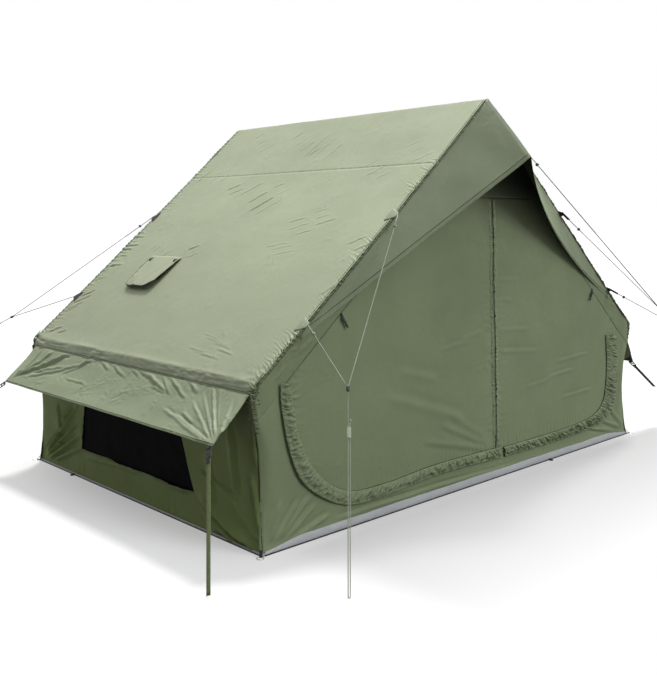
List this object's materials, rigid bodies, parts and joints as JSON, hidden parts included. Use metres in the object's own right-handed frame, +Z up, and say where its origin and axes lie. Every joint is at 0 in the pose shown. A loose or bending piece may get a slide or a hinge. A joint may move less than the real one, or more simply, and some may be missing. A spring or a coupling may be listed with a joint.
{
  "type": "inflatable tent",
  "caption": "Gable-shaped air-beam tent with low side walls, a zipped front door under a pointed visor, side window awnings, roof vents and guy lines.",
  "frame": {"origin": "centre of the groundsheet's underside", "axes": "+X across the gable to the right seen from the door, +Y from the door to the back, +Z up"},
  "size_m": [3.8252, 3.5499, 1.9999],
  "materials": {
    "roof_fabric": "matte woven",
    "wall_fabric": "matte woven",
    "awning_fabric": "matte woven",
    "floor_sheet": "coated, low sheen",
    "sleeve_fabric": "matte woven",
    "bladder_film": "smooth film",
    "black_mesh": "fine net",
    "black_plastic": "satin",
    "pale_plastic": "satin",
    "olive_webbing": "ribbed webbing",
    "dark_webbing": "ribbed webbing",
    "pale_cord": "twisted cord",
    "dark_cord": "twisted cord",
    "steel": "polished"
  },
  "bodies": {
    "tent": {"groundsheet": "floor_sheet", "rear_wall": "wall_fabric", "front_gable": "wall_fabric", "front_surround": "wall_fabric", "left_wall": "wall_fabric", "right_wall": "wall_fabric", "left_window_mesh": "black_mesh", "right_window_mesh": "black_mesh", "left_roof": "roof_fabric", "right_roof": "roof_fabric", "left_vent_mesh": "black_mesh", "right_vent_mesh": "black_mesh", "visor": "awning_fabric", "front_arch_sleeve": "sleeve_fabric", "front_arch_bladder": "bladder_film", "rear_arch_sleeve": "sleeve_fabric", "rear_arch_bladder": "bladder_film", "ridge_beam_sleeve": "sleeve_fabric", "ridge_beam_bladder": "bladder_film", "left_eave_beam_sleeve": "sleeve_fabric", "left_eave_beam_bladder": "bladder_film", "right_eave_beam_sleeve": "sleeve_fabric", "right_eave_beam_bladder": "bladder_film", "inflation_valve": "black_plastic", "deflation_valve": "black_plastic", "front_left_guy_long": "pale_cord", "front_left_guy_short": "pale_cord", "rear_left_guy_long": "dark_cord", "rear_left_guy_short": "dark_cord", "front_right_guy_upper": "dark_cord", "front_right_guy_lower": "dark_cord", "visor_tip_guy": "dark_cord"},
    "left_door": {"left_door_leaf": "wall_fabric", "left_door_flap": "wall_fabric", "left_door_tie": "black_plastic"},
    "right_door": {"right_door_leaf": "wall_fabric", "right_door_flap": "wall_fabric", "right_door_tie": "black_plastic"},
    "zip_slider": {"door_zip_slider": "black_plastic"},
    "left_awning": {"left_awning": "awning_fabric"},
    "right_awning": {"right_awning": "awning_fabric", "rear_right_awning_buckle": "black_plastic"},
    "front_left_strap": {"front_left_awning_buckle": "black_plastic", "front_left_awning_strap": "olive_webbing"},
    "rear_left_strap": {"rear_left_awning_buckle": "black_plastic", "rear_left_awning_strap": "dark_webbing"},
    "front_right_strap": {"front_right_awning_buckle": "black_plastic", "front_right_awning_strap": "dark_webbing"},
    "left_hood": {"left_vent_hood": "roof_fabric"},
    "right_hood": {"right_vent_hood": "roof_fabric"},
    "tensioner": {"guy_tensioner": "pale_plastic"},
    "inflation_cap": {"inflation_valve_cap": "black_plastic"},
    "deflation_cap": {"deflation_valve_cap": "black_plastic"},
    "front_left_ring": {"front_left_peg_ring": "steel"},
    "front_right_ring": {"front_right_peg_ring": "steel"},
    "rear_left_ring": {"rear_left_peg_ring": "steel"},
    "rear_right_ring": {"rear_right_peg_ring": "steel"}
  },
  "joints": [
    {"name": "left_door_lift", "type": "hinge", "parent": "tent", "child": "left_door", "pos_m": [-1.36, -1.0375, 0.71961], "axis": [-0.769, 0, -0.6392], "range_deg": [0, 45]},
    {"name": "right_door_lift", "type": "hinge", "parent": "tent", "child": "right_door", "pos_m": [1.36, -1.0375, 0.71961], "axis": [-0.769, 0, 0.6392], "range_deg": [0, 45]},
    {"name": "zip_slide", "type": "slide", "parent": "left_door", "child": "zip_slider", "axis": [-0.0605, 0, 0.9982], "range_m": [0, 1.25]},
    {"name": "left_awning_fold", "type": "hinge", "parent": "tent", "child": "left_awning", "pos_m": [-1.53951, 0, 0.677], "axis": [0, 1, 0], "range_deg": [-45, 41]},
    {"name": "right_awning_fold", "type": "hinge", "parent": "tent", "child": "right_awning", "pos_m": [1.53951, 0, 0.677], "axis": [0, -1, 0], "range_deg": [-27, 60]},
    {"name": "front_left_strap_turn", "type": "hinge", "parent": "left_awning", "child": "front_left_strap", "pos_m": [-1.72974, -0.9895, 0.5087], "axis": [0, 1, 0], "range_deg": [-60, 65]},
    {"name": "rear_left_strap_turn", "type": "hinge", "parent": "left_awning", "child": "rear_left_strap", "pos_m": [-1.72974, 0.9895, 0.5087], "axis": [0, 1, 0], "range_deg": [-60, 65]},
    {"name": "front_right_strap_turn", "type": "hinge", "parent": "right_awning", "child": "front_right_strap", "pos_m": [1.66651, -0.9895, 0.45703], "axis": [0, -1, 0], "range_deg": [-79, 36]},
    {"name": "left_hood_fold", "type": "hinge", "parent": "tent", "child": "left_hood", "pos_m": [-0.96083, 0.48, 1.20308], "axis": [0, 1, 0], "range_deg": [-11.5, 40]},
    {"name": "right_hood_fold", "type": "hinge", "parent": "tent", "child": "right_hood", "pos_m": [0.96083, 0.48, 1.20308], "axis": [0, -1, 0], "range_deg": [-11.5, 40]},
    {"name": "tensioner_slide", "type": "slide", "parent": "tent", "child": "tensioner", "axis": [0.327, 0.3319, 0.8848], "range_m": [0, 0.12]},
    {"name": "inflation_cap_turn", "type": "hinge", "parent": "tent", "child": "inflation_cap", "pos_m": [-1.36067, 0.9602, 0.32], "axis": [1, 0, 0], "range_deg": [0, 270]},
    {"name": "deflation_cap_turn", "type": "hinge", "parent": "tent", "child": "deflation_cap", "pos_m": [1.36067, 0.9602, 0.32], "axis": [-1, 0, 0], "range_deg": [0, 270]},
    {"name": "front_left_ring_swing", "type": "hinge", "parent": "tent", "child": "front_left_ring", "pos_m": [-1.53826, -1.06526, 0.0048], "axis": [-0.7071, 0.7071, 0], "range_deg": [0, 120]},
    {"name": "front_right_ring_swing", "type": "hinge", "parent": "tent", "child": "front_right_ring", "pos_m": [1.53826, -1.06526, 0.0048], "axis": [-0.7071, -0.7071, 0], "range_deg": [0, 120]},
    {"name": "rear_left_ring_swing", "type": "hinge", "parent": "tent", "child": "rear_left_ring", "pos_m": [-1.53826, 1.06526, 0.0048], "axis": [0.7071, 0.7071, 0], "range_deg": [0, 120]},
    {"name": "rear_right_ring_swing", "type": "hinge", "parent": "tent", "child": "rear_right_ring", "pos_m": [1.53826, 1.06526, 0.0048], "axis": [0.7071, -0.7071, 0], "range_deg": [0, 120]}
  ],
  "couplings": [
    {"joint": "front_left_strap_turn", "follows": "left_awning_fold", "ratio": -1.3},
    {"joint": "rear_left_strap_turn", "follows": "left_awning_fold", "ratio": -1.3},
    {"joint": "front_right_strap_turn", "follows": "right_awning_fold", "ratio": -1.3}
  ]
}
